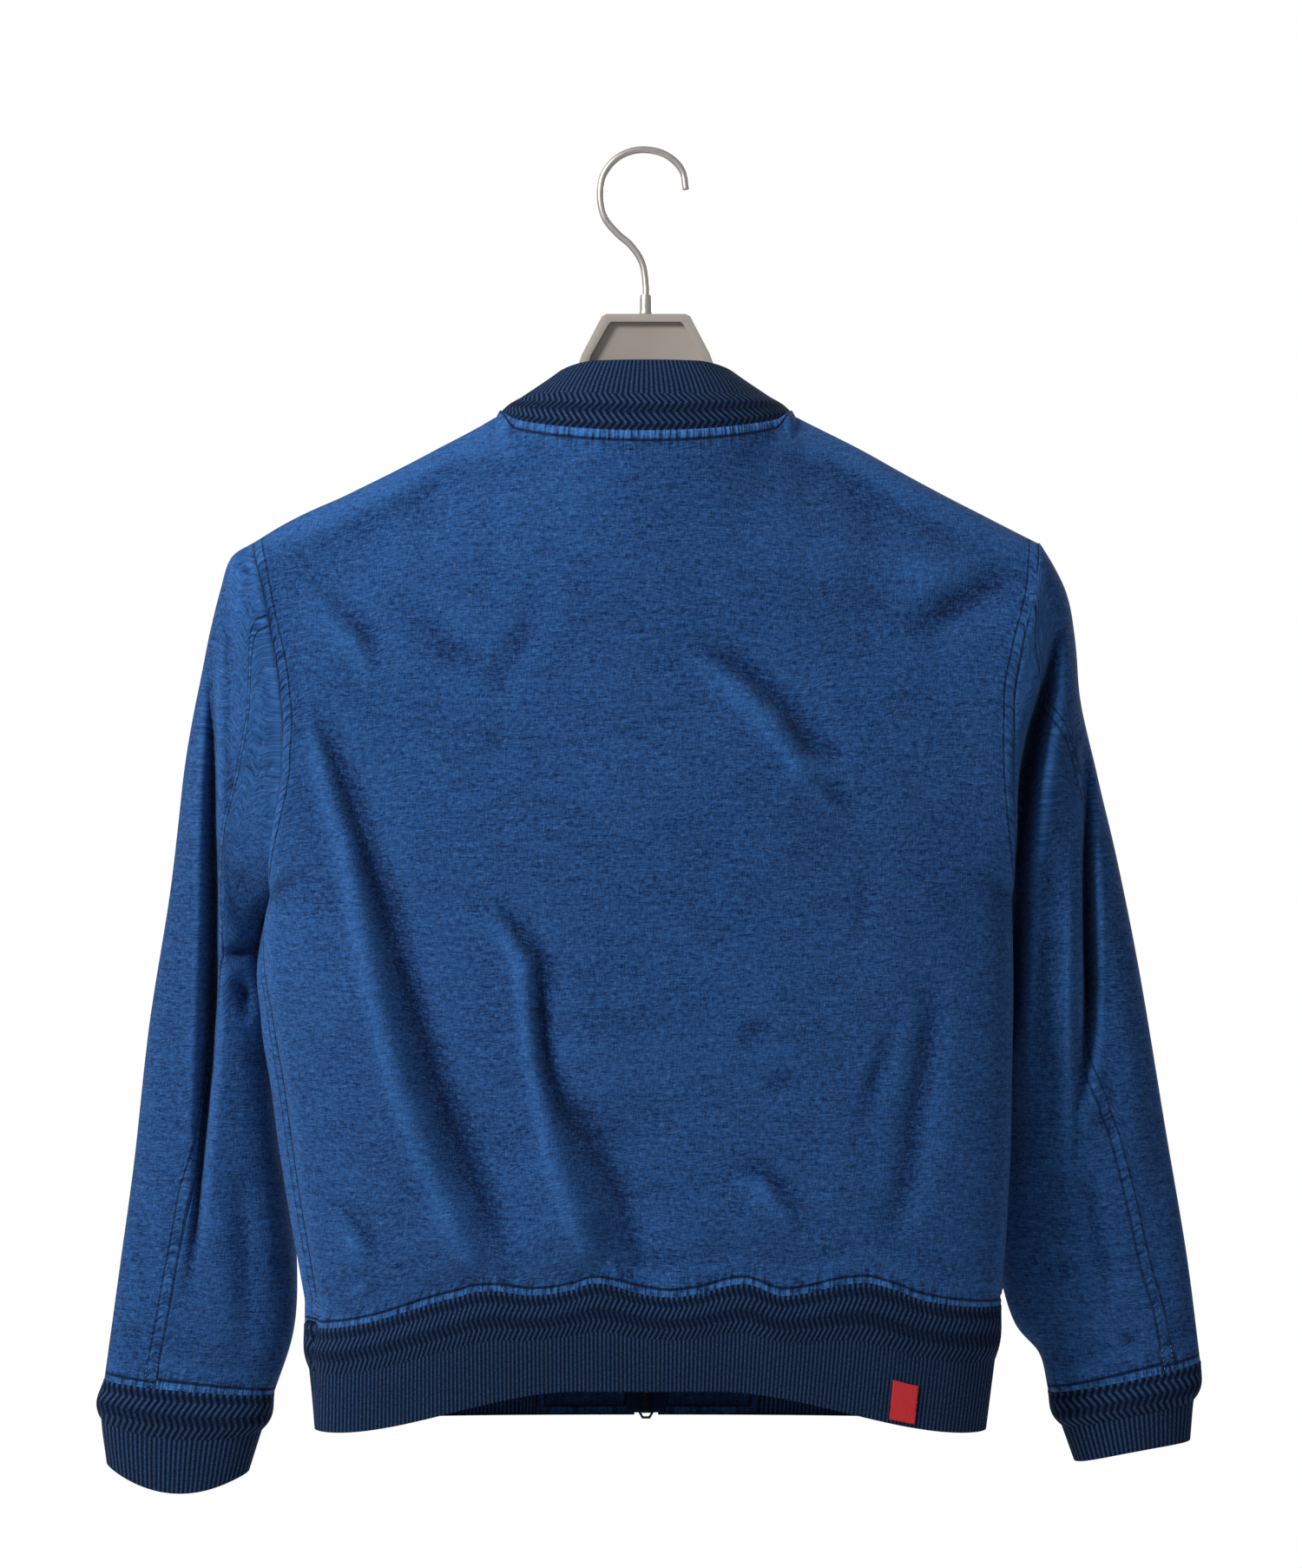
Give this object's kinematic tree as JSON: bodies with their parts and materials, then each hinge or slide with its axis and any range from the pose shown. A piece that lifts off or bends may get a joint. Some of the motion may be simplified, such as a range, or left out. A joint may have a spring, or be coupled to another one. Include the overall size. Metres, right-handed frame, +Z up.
{
  "type": "indigo canvas bomber jacket on a hanger",
  "caption": "Short zip-front jacket of indigo canvas with dark knitted collar, cuffs and hem, hung closed on a moulded hanger with a metal hook; the zip pulls swing.",
  "frame": {"origin": "inner top of the hanger hook's bend, where the hook rests on its peg or rail", "axes": "+Z up, the jacket's back faces +Y and its front with the zip faces -Y, its left sleeve is at +X"},
  "size_m": [0.7084, 0.1477, 0.8588],
  "materials": {
    "canvas": "matt woven canvas with a worn, slubby face",
    "knit": "matt ribbed knit",
    "red_twill": "matt woven twill",
    "zip_tape": "matt woven tape",
    "dark_metal": "smooth dark plating",
    "pearl_plastic": "smooth warm grey with a pearl sheen",
    "satin_nickel": "satin nickel plating"
  },
  "bodies": {
    "jacket_and_hanger": {"back_panel": "canvas", "front_left": "canvas", "front_right": "canvas", "sleeve_top_left": "canvas", "sleeve_under_left": "canvas", "cuff_left": "knit", "sleeve_top_right": "canvas", "sleeve_under_right": "canvas", "cuff_right": "knit", "collar_rib": "knit", "hem_rib": "knit", "hem_block_left": "canvas", "hem_block_right": "canvas", "hem_tab": "red_twill", "zip_tape_left": "zip_tape", "zip_tape_right": "zip_tape", "zip_chain": "dark_metal", "zip_slider_bottom": "dark_metal", "zip_slider_top": "dark_metal", "hanger_body": "pearl_plastic", "hanger_hook": "satin_nickel"},
    "bottom_pull": {"zip_pull_bottom": "dark_metal"},
    "top_pull": {"zip_pull_top": "dark_metal"}
  },
  "joints": [
    {"name": "bottom_pull_swing", "type": "hinge", "parent": "jacket_and_hanger", "child": "bottom_pull", "pos_m": [-0.0045, -0.04354, -0.80133], "axis": [-1, 0, 0], "range_deg": [0, 150]},
    {"name": "top_pull_swing", "type": "hinge", "parent": "jacket_and_hanger", "child": "top_pull", "pos_m": [-0.0045, -0.08251, -0.20675], "axis": [-1, 0, 0], "range_deg": [0, 150]}
  ]
}
